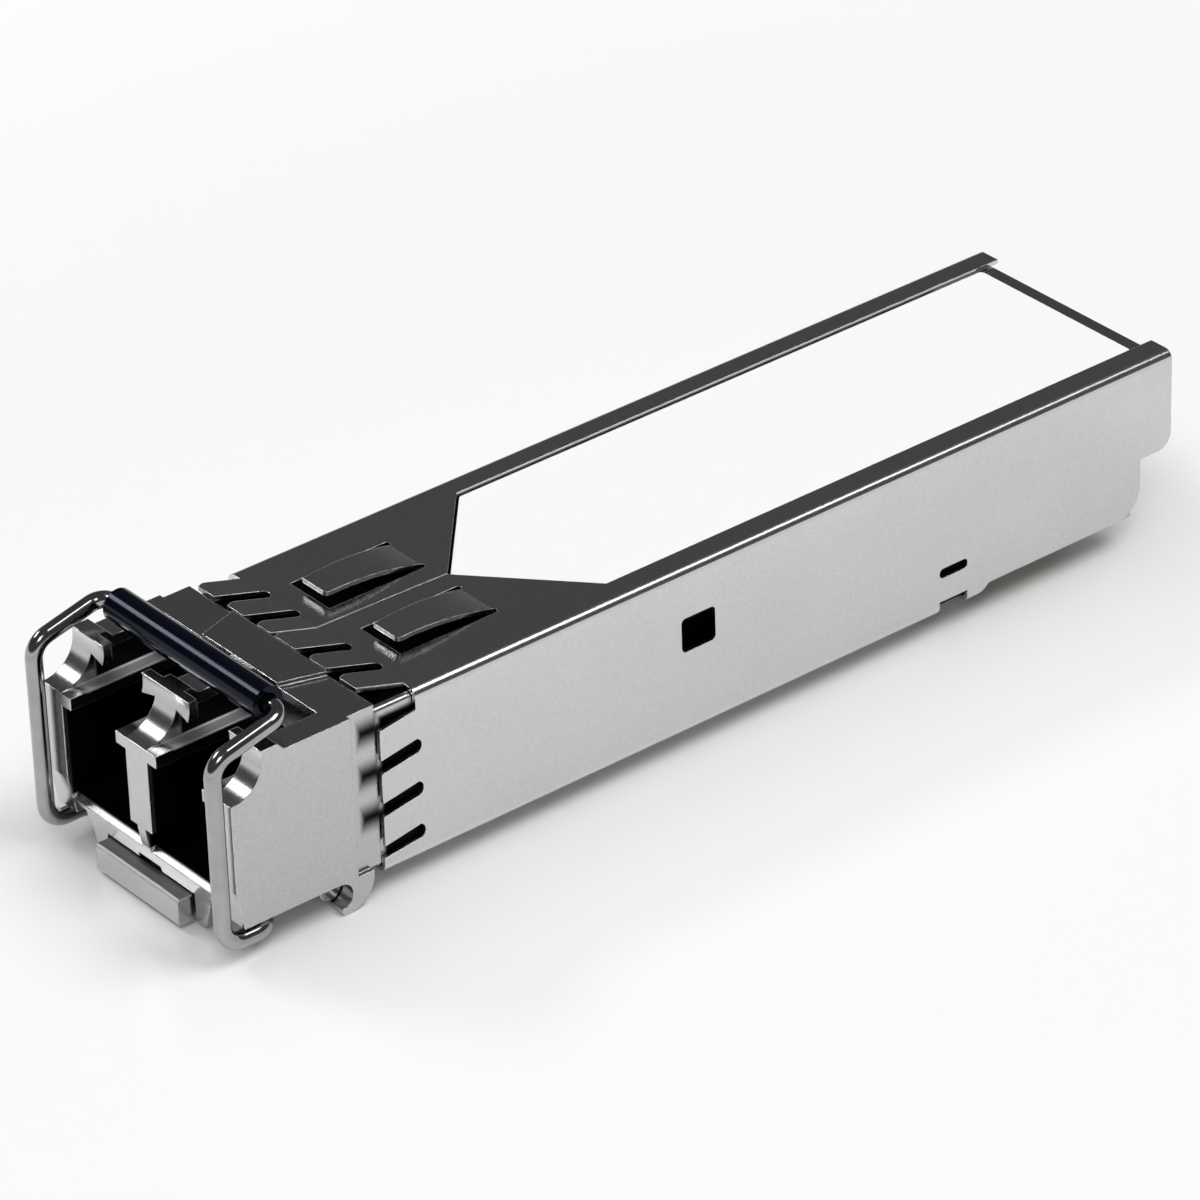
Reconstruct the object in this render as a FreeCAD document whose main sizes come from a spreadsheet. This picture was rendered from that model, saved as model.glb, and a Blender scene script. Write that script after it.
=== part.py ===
import FreeCAD, Part
import math
import os
import re
import Sketcher
from FreeCAD import Vector

# A small form-factor pluggable optical transceiver, in millimetres.
# Working axes: X across, Y along with the nose towards -Y, Z up. Y = 0 is the rear end
# of the sheet-metal sleeve and Z = 0 is its underside. Every piece is then placed so that
# the origin lies under the middle of the whole module.

doc = FreeCAD.newDocument("transceiver")
sheet = doc.addObject("Spreadsheet::Sheet", "Sizes")

SIZES = {
    # Folded sleeve
    "body_width": 13.4,
    "body_height": 8.5,
    "sleeve_length": 46.5,
    "sheet_gauge": 0.22,
    "bend_radius": 0.45,
    "sleeve_clearance": 0.05,
    "finger_length": 2.05,
    "top_finger_rise": 0.3,
    "side_finger_rise": 0.12,
    "finger_slot": 0.7,
    "finger_slant": 0.6,
    "finger_corner": 0.35,
    "finger_round": 0.4,
    "top_finger_place": 1.86,
    "top_finger_pitch": 2.16,
    "side_finger_pitch": 2.17,
    "side_finger_height": 3.54,
    "side_finger_drop": 0.22,
    "lower_corner_height": 1.25,
    "seam_gap": 0.05,
    "seam_lean": 0.25,
    "opening_tip": 37.4,
    "opening_shoulder": 32.7,
    "rail_width": 1.4,
    "tongue_edge": 1.48,
    "tongue_spacing": 5.1,
    "tongue_width": 2.2,
    "tongue_taper": 0.5,
    "tongue_root": 37.75,
    "tongue_length": 5.2,
    "tongue_rise": 0.6,
    "tongue_bow": 0.22,
    "tongue_slot": 0.33,
    "tongue_tip_gap": 0.1,
    "tongue_tip_round": 0.25,
    "window_front": 29.65,
    "window_length": 1.95,
    "window_bottom": 4.25,
    "window_height": 1.75,
    "window_round": 0.25,
    "window_tab": 0.55,
    "side_slot_front": 14.4,
    "side_slot_length": 1.7,
    "side_slot_height": 0.5,
    "side_slot_level": 2.2,
    "side_slot_round": 0.22,
    "side_notch_height": 0.72,
    "underside_setback": 12.1,
    "underside_ramp": 0.72,
    "underside_rise": 0.6,
    "rear_step_length": 1.93,
    "rear_step_height": 3.45,
    "rear_step_round": 0.8,
    "rear_foot_round": 1.5,
    # Die-cast housing
    "cut_margin": 1.0,
    "shoulder_gap": 1.55,
    "neck_step": 0.12,
    "neck_inset": 0.25,
    "nose_length": 6.45,
    "nose_overhang": 0.15,
    "nose_bottom": 0.6,
    "rake_height": 2.5,
    "rake_depth": 0.35,
    "horn_rise": 0.36,
    "horn_setback": 2.95,
    "port_pitch": 6.25,
    "port_width": 4.7,
    "port_height": 4.6,
    "port_level": 4.0,
    "port_depth": 10.0,
    "port_wall": 1.5,
    "foot_relief": 0.5,
    "foot_height": 0.95,
    "sill_depth": 0.55,
    "sill_drop": 0.45,
    "ledge_thickness": 0.6,
    "ledge_overhang": 0.68,
    "latch_neck": 0.02,
    "wing_overhang": 0.92,
    "wing_bottom": 8.05,
    "wing_hook": 0.2,
    "wing_setback": 2.2,
    "scoop_radius": 1.75,
    "top_plate": 0.75,
    "top_plate_thickness": 0.45,
    "latch_undercut": 1.6,
    "pad_rise": 0.2,
    "pad_front_width": 5.4,
    "pad_rear_width": 6.75,
    "channel_height": 1.2,
    "keel_width": 9.1,
    "keel_foot_width": 7.8,
    "keel_bottom": -0.72,
    "keel_length": 2.83,
    "keel_notch_width": 1.66,
    "keel_notch_height": 0.25,
    "ear_thickness": 1.5,
    "ear_round": 1.5,
    "ear_bottom": -1.05,
    "ear_reach": 0.86,
    "ear_hook_round": 0.24,
    "roof_thickness": 1.0,
    "roof_setback": 0.35,
    "board_shelf": 0.65,
    "window_room_depth": 0.7,
    "optics_gap": 0.175,
    "bay_length": 10.0,
    # Bail and its grip
    "wire_diameter": 0.8,
    "bail_setback": 2.1,
    "bail_level": -0.05,
    "bail_front": 0.58,
    "bail_inset": 0.35,
    "bail_shoulder": 9.18,
    "bail_bar_setback": 3.25,
    "bail_bar_level": 10.12,
    "bail_bend": 1.0,
    "bail_bar_bend": 0.75,
    "bail_bore_clearance": 0.08,
    "cam_width": 1.4,
    "cam_thickness": 0.4,
    "cam_length": 1.05,
    "cam_clearance": 0.22,
    "cam_end_gap": 0.1,
    "grip_diameter": 1.6,
    "grip_length": 10.8,
    "grip_clearance": 0.08,
    # Latch lever and its leaf spring
    "trunnion_setback": 5.5,
    "trunnion_level": -0.05,
    "trunnion_diameter": 1.1,
    "trunnion_clearance": 0.08,
    "trunnion_end_gap": 0.85,
    "tab_width": 6.0,
    "tab_top": 0.52,
    "tab_bottom": -0.86,
    "tab_front": 0.45,
    "tab_thickness": 0.8,
    "tab_round": 0.18,
    "lever_top": 0.33,
    "lever_side_gap": 0.2,
    "rear_arm_width": 3.0,
    "rear_arm_thickness": 0.45,
    "rear_arm_reach": 4.15,
    "boss_width": 2.6,
    "boss_length": 2.3,
    "boss_height": 0.45,
    "boss_ramp": 1.2,
    "lever_well_gap": 0.4,
    "lever_well_height": 1.35,
    "spring_thickness": 0.12,
    "spring_width": 2.4,
    "spring_sag": 0.18,
    "spring_end_gap": 0.3,
    # Optics
    "nozzle_diameter": 2.9,
    "nozzle_clearance": 0.08,
    "nozzle_reach": 3.5,
    "ferrule_bore": 1.26,
    "ferrule_depth": 3.8,
    "bore_mouth": 0.25,
    "flange_diameter": 4.6,
    "flange_thickness": 1.0,
    "groove_diameter": 3.6,
    "groove_width": 1.1,
    "barrel_diameter": 4.4,
    "barrel_tail": 2.4,
    "can_diameter": 3.7,
    "can_height": 2.1,
    "can_clearance": 0.05,
    "header_diameter": 4.7,
    "header_thickness": 1.2,
    "lead_circle": 2.54,
    "lead_width": 0.4,
    "lead_hole_gap": 0.05,
    "lead_length": 1.1,
    "flex_thickness": 0.15,
    "flex_width": 3.4,
    "flex_gap": 0.5,
    "flex_height": 1.9,
    "flex_bend": 0.6,
    "flex_landing": 1.5,
    "retainer_clearance": 0.1,
    # Circuit board and what is soldered to it
    "board_thickness": 1.0,
    "board_underside": 2.25,
    "board_tongue_width": 9.2,
    "board_tongue_length": 9.0,
    "board_rear": 3.2,
    "board_side_gap": 0.05,
    "board_front_gap": 0.3,
    "board_edge_bevel": 0.25,
    "contact_pitch": 0.8,
    "contact_width": 0.55,
    "contact_length": 3.2,
    "contact_thickness": 0.05,
    "contact_edge_gap": 0.4,
    "driver_place": 4.0,
    "driver_side": 3.0,
    "driver_height": 0.85,
    "controller_place": 10.0,
    "controller_side": 5.0,
    "controller_height": 1.0,
    "memory_place": 16.0,
    "memory_length": 4.9,
    "memory_width": 3.9,
    "memory_height": 1.5,
    "crystal_place": 13.6,
    "crystal_length": 1.6,
    "crystal_width": 1.25,
    "crystal_height": 0.8,
    "chip_corner": 0.35,
    "capacitor_place": 7.0,
    "capacitor_pitch": 2.0,
    "capacitor_column": 4.2,
    "capacitor_length": 1.0,
    "capacitor_width": 0.5,
    "capacitor_height": 0.5,
    "resistor_place": 7.0,
    "resistor_pitch": 10.0,
    "resistor_column": 3.4,
    "middle_resistor_place": 5.0,
    "middle_resistor_pitch": 1.4,
    "resistor_length": 1.0,
    "resistor_width": 0.5,
    "resistor_height": 0.35,
    "inductor_place": 19.0,
    "inductor_length": 2.0,
    "inductor_width": 2.0,
    "inductor_height": 1.2,
    # Label
    "label_margin": 0.12,
    "label_rear": 1.15,
    "label_thickness": 0.1,
    "label_round": 0.25,
}

for row, (alias, number) in enumerate(SIZES.items(), start=1):
    sheet.set(f"A{row}", alias.replace("_", " "))
    sheet.set(f"B{row}", str(number))
    sheet.setAlias(f"B{row}", alias)
doc.recompute()


def bound(text):
    """The expression for the sheet: each alias in it gets the sheet's name."""
    return re.sub(r"\b[a-z]+(?:_[a-z]+)*\b", lambda word: in_sheet(word.group()), str(text))


def in_sheet(word):
    return f"Sizes.{word}" if word in SIZES else word


def value(text):
    """What an expression comes to now, in millimetres."""
    return float(sheet.evalExpression(bound(text)))


# Planes and levels that several pieces share, as expressions of the sheet's sizes.
SIDE = "(body_width / 2)"
CORE_SIDE = "(body_width / 2 - sheet_gauge - sleeve_clearance)"
CORE_TOP = "(body_height - sheet_gauge - sleeve_clearance)"
CORE_BOTTOM = "(sheet_gauge + sleeve_clearance)"
INNER_BEND = "(bend_radius - sheet_gauge)"
TIP = "(-sleeve_length)"
ROOT = "(finger_length - sleeve_length)"
SHOULDER = "(-sleeve_length - shoulder_gap)"
NOSE_FRONT = "(-sleeve_length - shoulder_gap - nose_length)"
NOSE_SIDE = "(body_width / 2 + nose_overhang)"
NOSE_TOP = "(body_height + nose_overhang)"
HORN_TOP = f"({NOSE_TOP} + horn_rise)"
PORT_FLOOR = "(port_level - port_height / 2)"
PORT_ROOF = "(port_level + port_height / 2)"
LEDGE_TOP = f"({PORT_ROOF} + ledge_thickness)"
PORT_NEAR = "(port_pitch / 2 - port_width / 2)"
PORT_FAR = "(port_pitch / 2 + port_width / 2)"
PORT_BACK = f"({NOSE_FRONT} + port_depth)"
BAY_FRONT = f"({PORT_BACK} + port_wall)"
BAY_REAR = f"({BAY_FRONT} + bay_length)"
BAY_SIDE = "(port_pitch / 2 + header_diameter / 2 + optics_gap)"
ROOF_UNDERSIDE = f"({CORE_TOP} - roof_thickness)"
BOARD_TOP = "(board_underside + board_thickness)"
BAIL_Y = f"({NOSE_FRONT} + bail_setback)"
LEG_Y = f"({NOSE_FRONT} - bail_front)"
LEG_X = f"({NOSE_SIDE} - bail_inset)"
BAR_Y = f"({NOSE_FRONT} + bail_bar_setback)"
TRUNNION_Y = f"({NOSE_FRONT} + trunnion_setback)"
LEVER_SIDE = "(tab_width / 2)"
KEEL_INNER = f"({LEVER_SIDE} + lever_side_gap)"
LEVER_END = f"({TRUNNION_Y} + rear_arm_reach)"
WELL_SIDE = "(rear_arm_width / 2 + lever_well_gap)"
WELL_END = f"({LEVER_END} + lever_well_gap)"
MIDDLE_Y = f"((sleeve_length + shoulder_gap + nose_length + bail_front + wire_diameter / 2) / 2)"
GROUND_Z = "(-ear_bottom)"

nodes = []
TINY = 1e-6


def rounded(u, v, radius):
    return (u, v, "round", radius)


def bowed(u, v, rise):
    """A corner whose following side is an arc that stands out by rise, to the right of travel."""
    return (u, v, "bow", rise)


def rectangle(left, right, low, high):
    return [(left, low), (right, low), (right, high), (left, high)]


def mirrored(corners):
    """The same outline on the other side of the middle plane."""
    flipped = []
    for u, v, *rest in corners:
        if rest[:1] == ["bow"]:
            rest[1] = f"-({rest[1]})"
        flipped.append((f"-({u})", v, *rest))
    return flipped


def driven(sketch, kind, places, expression):
    """One dimension of a sketch, bound to the sheet."""
    number = sketch.addConstraint(Sketcher.Constraint(kind, *places, value(expression)))
    sketch.setExpression(f"Constraints[{number}]", bound(expression))


def pinned(sketch, geometry, end, u, v):
    driven(sketch, "DistanceX", (-1, 1, geometry, end), u)
    driven(sketch, "DistanceY", (-1, 1, geometry, end), v)


def end_at(sketch, geometry, point):
    """Which end of an edge lies at a point: 1 for its start, 2 for its end."""
    start = sketch.getPoint(geometry, 1)
    return 1 if start.distanceToPoint(point) < TINY else 2


def draw_circle(sketch, u, v, radius):
    centre = Vector(value(u), value(v), 0)
    circle = sketch.addGeometry(Part.Circle(centre, Vector(0, 0, 1), value(radius)))
    pinned(sketch, circle, 3, u, v)
    driven(sketch, "Radius", (circle,), radius)


def draw_outline(sketch, corners):
    """A closed outline of straight sides, rounded corners and bowed sides."""
    count = len(corners)
    places = [Vector(value(corner[0]), value(corner[1]), 0) for corner in corners]
    starts = list(places)
    ends = list(places)
    for i, corner in enumerate(corners):
        if corner[2:3] == ("round",):
            back = (places[i - 1] - places[i]).normalize()
            ahead = (places[(i + 1) % count] - places[i]).normalize()
            reach = value(corner[3]) / math.tan(back.getAngle(ahead) / 2)
            ends[i] = places[i] + back * reach
            starts[i] = places[i] + ahead * reach

    sides = []
    for i, corner in enumerate(corners):
        start, end = starts[i], ends[(i + 1) % count]
        if corner[2:3] == ("bow",):
            along = (end - start).normalize()
            middle = (start + end) * 0.5 + Vector(along.y, -along.x, 0) * value(corner[3])
            sides.append(sketch.addGeometry(Part.Arc(start, middle, end)))
        else:
            sides.append(sketch.addGeometry(Part.LineSegment(start, end)))

    for i, corner in enumerate(corners):
        before, after = sides[i - 1], sides[i]
        before_end = end_at(sketch, before, ends[i])
        after_start = end_at(sketch, after, starts[i])
        if corner[2:3] == ("round",):
            back = (ends[i] - places[i])
            ahead = (starts[i] - places[i])
            across = (back + ahead).normalize()
            half = back.getAngle(ahead) / 2
            radius = value(corner[3])
            centre = places[i] + across * (radius / math.sin(half))
            middle = centre - across * radius
            bend = sketch.addGeometry(Part.Arc(ends[i], middle, starts[i]))
            tip = sketch.addGeometry(Part.Point(places[i]), True)
            pinned(sketch, tip, 1, corner[0], corner[1])
            sketch.addConstraint(Sketcher.Constraint("PointOnObject", tip, 1, before))
            sketch.addConstraint(Sketcher.Constraint("PointOnObject", tip, 1, after))
            first = end_at(sketch, bend, ends[i])
            sketch.addConstraint(Sketcher.Constraint("Tangent", before, before_end, bend, first))
            sketch.addConstraint(Sketcher.Constraint("Tangent", bend, 3 - first, after, after_start))
            driven(sketch, "Radius", (bend,), corner[3])
        else:
            sketch.addConstraint(Sketcher.Constraint("Coincident", before, before_end, after, after_start))
            pinned(sketch, after, after_start, corner[0], corner[1])
        if corner[2:3] == ("bow",):
            ahead = corners[(i + 1) % count]
            chord = f"((({ahead[0]}) - ({corner[0]})) ^ 2 + (({ahead[1]}) - ({corner[1]})) ^ 2)"
            rise = f"({corner[3]})"
            driven(sketch, "Radius", (after,), f"abs(({chord} / 4 + {rise} ^ 2) / (2 * {rise}))")


def new_body(label):
    body = doc.addObject("PartDesign::Body", label)
    body.Label = label
    nodes.append(body)
    return body


def new_sketch(body, name, plane, level, shapes):
    """A sketch on one of a body's own planes, moved along that plane's normal to a level."""
    sketch = body.newObject("Sketcher::SketchObject", name + "_sketch")
    support = next(f for f in body.Origin.OriginFeatures if f.Role == plane + "_Plane")
    sketch.AttachmentSupport = [(support, "")]
    sketch.MapMode = "FlatFace"
    sketch.setExpression("AttachmentOffset.Base.z", bound(level))
    for shape in shapes:
        if shape[0] == "circle":
            draw_circle(sketch, *shape[1:])
        else:
            draw_outline(sketch, shape)
    return sketch


def extrude(body, kind, name, plane, low, high, shapes):
    """A pad or a pocket between two levels of the axis that the plane leaves out."""
    level = f"-({high})" if plane == "XZ" else low
    feature = body.newObject("PartDesign::" + kind, name)
    feature.Profile = new_sketch(body, name, plane, level, shapes)
    feature.Reversed = kind == "Pocket"
    feature.setExpression("Length", bound(f"({high}) - ({low})"))
    doc.recompute()
    return feature


def pad(body, name, plane, low, high, *shapes):
    return extrude(body, "Pad", name, plane, low, high, shapes)


def pocket(body, name, plane, low, high, *shapes):
    """A cut, which stops the build if it takes nothing away."""
    before = body.Shape.Volume
    feature = extrude(body, "Pocket", name, plane, low, high, shapes)
    if body.Shape.Volume > before - TINY:
        raise RuntimeError(f"{body.Label}: {name} cuts nothing")
    return feature


def revolve(body, name, profile):
    """A turned form about the body's own Y axis; the profile is radius and length."""
    feature = body.newObject("PartDesign::Revolution", name)
    sketch = new_sketch(body, name, "XY", "0", [profile])
    feature.Profile = sketch
    feature.ReferenceAxis = (sketch, ["V_Axis"])
    feature.Angle = 360
    doc.recompute()
    return feature


def placed(node, x="0", y="0", z="0"):
    """Set a node in the module; the origin lies under the middle of the whole."""
    node.setExpression("Placement.Base.x", bound(x))
    node.setExpression("Placement.Base.y", bound(f"({y}) + {MIDDLE_Y}"))
    node.setExpression("Placement.Base.z", bound(f"({z}) + {GROUND_Z}"))


def block(name, left, front, low, length, width, height):
    """A plain rectangular solid whose corner and sizes are bound to the sheet."""
    box = doc.addObject("Part::Box", name)
    box.setExpression("Length", bound(length))
    box.setExpression("Width", bound(width))
    box.setExpression("Height", bound(height))
    box.setExpression("Placement.Base.x", bound(left))
    box.setExpression("Placement.Base.y", bound(front))
    box.setExpression("Placement.Base.z", bound(low))
    return box


def group(label, solids):
    """Several like solids in one node."""
    together = doc.addObject("Part::Compound", label)
    together.Label = label
    together.Links = solids
    nodes.append(together)
    placed(together)
    return together


# Housing: one zinc casting. The nose holds the two ports, the core behind it is a roof
# with two side walls, open below for the optics and the board.
housing = new_body("die_cast_housing")
RAKE_Y = f"({NOSE_FRONT} + rake_depth)"
pad(housing, "nose", "YZ", f"-{NOSE_SIDE}", NOSE_SIDE, [
    (RAKE_Y, "nose_bottom"),
    (SHOULDER, "nose_bottom"),
    (SHOULDER, NOSE_TOP),
    (f"{NOSE_FRONT} + horn_setback", NOSE_TOP),
    (f"{NOSE_FRONT} + horn_setback - horn_rise", HORN_TOP),
    (NOSE_FRONT, HORN_TOP),
    (NOSE_FRONT, "rake_height"),
])
NECK_REAR = f"({TIP} - neck_step)"
NECK_SIDE = f"({NOSE_SIDE} - neck_inset)"
pad(housing, "neck", "XZ", SHOULDER, NECK_REAR,
    rectangle(f"-{NECK_SIDE}", NECK_SIDE, "nose_bottom", NOSE_TOP))
pad(housing, "core", "XZ", NECK_REAR, "-roof_setback",
    [rounded(u, v, INNER_BEND) for u, v in rectangle(f"-{CORE_SIDE}", CORE_SIDE, CORE_BOTTOM, CORE_TOP)])
pad(housing, "nose_pad", "XY", CORE_TOP, f"{NOSE_TOP} + pad_rise", [
    ("-pad_front_width / 2", f"{SHOULDER} - top_plate"),
    ("pad_front_width / 2", f"{SHOULDER} - top_plate"),
    ("pad_rear_width / 2", NECK_REAR),
    ("-pad_rear_width / 2", NECK_REAR),
])

# Keel lugs that carry the bail, and hooked ears that carry the lever's trunnions.
KEEL_REAR = f"({RAKE_Y} + keel_length)"
keel = [
    (KEEL_INNER, "keel_bottom"),
    ("keel_foot_width / 2", "keel_bottom"),
    ("keel_width / 2", "channel_height"),
    (KEEL_INNER, "channel_height"),
]
pad(housing, "keel_lugs", "XZ", RAKE_Y, KEEL_REAR, keel, mirrored(keel))
EAR_REAR = f"({SHOULDER} + ear_reach)"
ear = [
    rounded(TRUNNION_Y, "ear_bottom", "ear_hook_round"),
    rounded(EAR_REAR, "ear_bottom", "ear_round"),
    (EAR_REAR, "nose_bottom"),
    (SHOULDER, "nose_bottom"),
    (SHOULDER, "channel_height"),
    (TRUNNION_Y, "channel_height"),
]
pad(housing, "right_ear", "YZ", f"{NOSE_SIDE} - ear_thickness", NOSE_SIDE, ear)
pad(housing, "left_ear", "YZ", f"-{NOSE_SIDE}", f"ear_thickness - {NOSE_SIDE}", ear)
pocket(housing, "ear_hooks", "YZ", f"-{NOSE_SIDE}", NOSE_SIDE,
       ("circle", TRUNNION_Y, "trunnion_level", "trunnion_diameter / 2 + trunnion_clearance"))
pocket(housing, "bail_bores", "YZ", f"-{PORT_FAR}", PORT_FAR,
       ("circle", BAIL_Y, "bail_level", "wire_diameter / 2 + bail_bore_clearance"))

# Ports, the slots over them for the plugs' latches, and the scooped latch catches.
AHEAD = f"({NOSE_FRONT} - cut_margin)"
port = rectangle(PORT_NEAR, PORT_FAR, PORT_FLOOR, PORT_ROOF)
pocket(housing, "ports", "XZ", AHEAD, PORT_BACK, port, mirrored(port))
foot_side = rectangle(f"{PORT_NEAR} - foot_relief", PORT_NEAR, PORT_FLOOR, f"{PORT_FLOOR} + foot_height")
pocket(housing, "partition_foot", "XZ", AHEAD, PORT_BACK, foot_side, mirrored(foot_side))
sill = [
    (NOSE_FRONT, f"{PORT_FLOOR} - sill_drop"),
    (f"{NOSE_FRONT} + sill_depth", PORT_FLOOR),
    (NOSE_FRONT, PORT_FLOOR),
]
pocket(housing, "right_sill", "YZ", f"{PORT_NEAR} - foot_relief", PORT_FAR, sill)
pocket(housing, "left_sill", "YZ", f"-{PORT_FAR}", f"foot_relief - {PORT_NEAR}", sill)
LATCH_BACK = f"({SHOULDER} - top_plate)"
SLOT_NEAR = f"({PORT_NEAR} + ledge_overhang)"
SLOT_FAR = f"({PORT_FAR} - ledge_overhang)"
latch_slot = rectangle(SLOT_NEAR, SLOT_FAR, PORT_ROOF, LEDGE_TOP)
pocket(housing, "latch_slots", "XZ", AHEAD, LATCH_BACK, latch_slot, mirrored(latch_slot))
NECK_NEAR = f"({PORT_NEAR} - latch_neck)"
NECK_FAR = f"({PORT_FAR} + latch_neck)"
WING_NEAR = f"({NECK_NEAR} + wing_overhang)"
WING_FAR = f"({NECK_FAR} - wing_overhang)"
ABOVE = f"({HORN_TOP} + cut_margin)"
catch = [
    (NECK_NEAR, LEDGE_TOP),
    (NECK_FAR, LEDGE_TOP),
    (NECK_FAR, "wing_bottom + wing_hook"),
    (WING_FAR, "wing_bottom"),
    (WING_FAR, ABOVE),
    (WING_NEAR, ABOVE),
    (WING_NEAR, "wing_bottom"),
    (NECK_NEAR, "wing_bottom + wing_hook"),
]
WING_REAR = f"({NOSE_FRONT} + wing_setback)"
pocket(housing, "catch_mouths", "XZ", AHEAD, WING_REAR, catch, mirrored(catch))
latch_room = rectangle(NECK_NEAR, NECK_FAR, LEDGE_TOP, ABOVE)
pocket(housing, "latch_rooms", "XZ", WING_REAR, LATCH_BACK, latch_room, mirrored(latch_room))
undercut = rectangle(NECK_NEAR, NECK_FAR, LEDGE_TOP, f"{NOSE_TOP} - top_plate_thickness")
pocket(housing, "latch_undercuts", "XZ", LATCH_BACK, f"{LATCH_BACK} + latch_undercut",
       undercut, mirrored(undercut))
pocket(housing, "scoop", "YZ", f"-{NOSE_SIDE}", NOSE_SIDE,
       ("circle", NOSE_FRONT, f"{LEDGE_TOP} + scoop_radius", "scoop_radius"))

# Underside of the nose: a channel beside each lug for the wire, room over the cams,
# the well of the lever's rear arm and the notch above its tab.
channel = rectangle("keel_width / 2", PORT_FAR, "nose_bottom", "channel_height")
pocket(housing, "wire_channels", "XZ", NOSE_FRONT, KEEL_REAR, channel, mirrored(channel))
CAM_OUTER = f"({KEEL_INNER} - cam_end_gap)"
CAM_INNER = f"({CAM_OUTER} - cam_length)"
cam_room = rectangle(f"{CAM_INNER} - cam_clearance", KEEL_INNER,
                     f"{BAIL_Y} - cam_width / 2 - cam_clearance",
                     f"{BAIL_Y} + cam_width / 2 + cam_clearance")
pocket(housing, "cam_rooms", "XY", "nose_bottom", "bail_level + cam_width / 2 + cam_clearance",
       cam_room, mirrored(cam_room))
pocket(housing, "lever_well", "XY", CORE_BOTTOM, "lever_well_height",
       rectangle(f"-{WELL_SIDE}", WELL_SIDE, f"{TRUNNION_Y} + trunnion_diameter / 2", WELL_END))
pocket(housing, "tab_notch", "XZ", NOSE_FRONT, f"{RAKE_Y} + tab_thickness",
       rectangle("-keel_notch_width / 2", "keel_notch_width / 2",
                 "nose_bottom", "nose_bottom + keel_notch_height"))

# Inside of the core: holes for the optical nozzles, the optics bay and the board bay.
nozzle_hole = ("circle", "port_pitch / 2", "port_level", "nozzle_diameter / 2 + nozzle_clearance")
pocket(housing, "nozzle_holes", "XZ", PORT_BACK, BAY_FRONT,
       nozzle_hole, ("circle", "-port_pitch / 2", *nozzle_hole[2:]))
pocket(housing, "optics_bay", "XZ", BAY_FRONT, BAY_REAR,
       rectangle(f"-{BAY_SIDE}", BAY_SIDE, CORE_BOTTOM, ROOF_UNDERSIDE))
SHELF_SIDE = f"({BAY_SIDE} - board_shelf)"
pocket(housing, "board_bay", "XZ", BAY_REAR, "-roof_setback", [
    (f"-{BAY_SIDE}", CORE_BOTTOM),
    (BAY_SIDE, CORE_BOTTOM),
    (BAY_SIDE, BOARD_TOP),
    (SHELF_SIDE, BOARD_TOP),
    (SHELF_SIDE, ROOF_UNDERSIDE),
    (f"-{SHELF_SIDE}", ROOF_UNDERSIDE),
    (f"-{SHELF_SIDE}", BOARD_TOP),
    (f"-{BAY_SIDE}", BOARD_TOP),
])
pocket(housing, "rear_step", "YZ", f"-{CORE_SIDE}", CORE_SIDE,
       rectangle("-rear_step_length - roof_setback", "0", "0", "rear_step_height + roof_setback"))
WINDOW_REAR = "(window_length - window_front)"
window_room = rectangle("-window_front - sleeve_clearance", f"{WINDOW_REAR} + sleeve_clearance",
                        "window_bottom - sleeve_clearance",
                        "window_bottom + window_height + sleeve_clearance + sheet_gauge")
for side, low, high in (("right", f"{CORE_SIDE} - window_room_depth", CORE_SIDE),
                        ("left", f"-{CORE_SIDE}", f"window_room_depth - {CORE_SIDE}")):
    pocket(housing, side + "_window_room", "YZ", low, high, window_room)
placed(housing)

# Sleeve: one folded sheet. The tube's front edge is split into fingers that lean outwards;
# the two lower corners keep their fold and stay straight.
sleeve = new_body("sheet_metal_sleeve")
INNER_SIDE = "(body_width / 2 - sheet_gauge)"
INNER_TOP = "(body_height - sheet_gauge)"
pad(sleeve, "folded_tube", "XZ", ROOT, "0",
    [rounded(u, v, "bend_radius") for u, v in rectangle(f"-{SIDE}", SIDE, "0", "body_height")],
    [rounded(u, v, INNER_BEND) for u, v in rectangle(f"-{INNER_SIDE}", INNER_SIDE, "sheet_gauge", INNER_TOP)])
FLAT_SIDE = f"({SIDE} - bend_radius)"
OUTER_SLOT = "(top_finger_place + top_finger_pitch)"
pad(sleeve, "top_finger_strip", "YZ", f"-{SIDE}", FLAT_SIDE, [
    (TIP, f"{INNER_TOP} + top_finger_rise"),
    (ROOT, INNER_TOP),
    (ROOT, "body_height"),
    (TIP, "body_height + top_finger_rise"),
])
pad(sleeve, "bottom_finger_strip", "YZ", f"-{OUTER_SLOT}", OUTER_SLOT, [
    (TIP, "-side_finger_rise"),
    (ROOT, "0"),
    (ROOT, "sheet_gauge"),
    (TIP, "sheet_gauge - side_finger_rise"),
])
side_strip = [
    (INNER_SIDE, ROOT),
    (f"{INNER_SIDE} + side_finger_rise", TIP),
    (f"{SIDE} + side_finger_rise", TIP),
    (SIDE, ROOT),
]
pad(sleeve, "side_finger_strips", "XY", "lower_corner_height", "body_height - bend_radius",
    side_strip, mirrored(side_strip))
lower_corner = [
    (OUTER_SLOT, "0"),
    rounded(SIDE, "0", "bend_radius"),
    (SIDE, "lower_corner_height"),
    (INNER_SIDE, "lower_corner_height"),
    rounded(INNER_SIDE, "sheet_gauge", INNER_BEND),
    (OUTER_SLOT, "sheet_gauge"),
]
pad(sleeve, "lower_corners", "XZ", TIP, ROOT, lower_corner, mirrored(lower_corner))


PAST_TIP = f"({TIP} - sheet_gauge)"
LEAN = "(1 + sheet_gauge / finger_length)"
HALF_SLOT = "finger_slot / 2"
SLOT_CROWN = "finger_slot / 3"
CORNER_Y = f"({TIP} + finger_corner)"
CORNER_SLANT = "(finger_slant * (1 - finger_corner / finger_length))"


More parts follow.
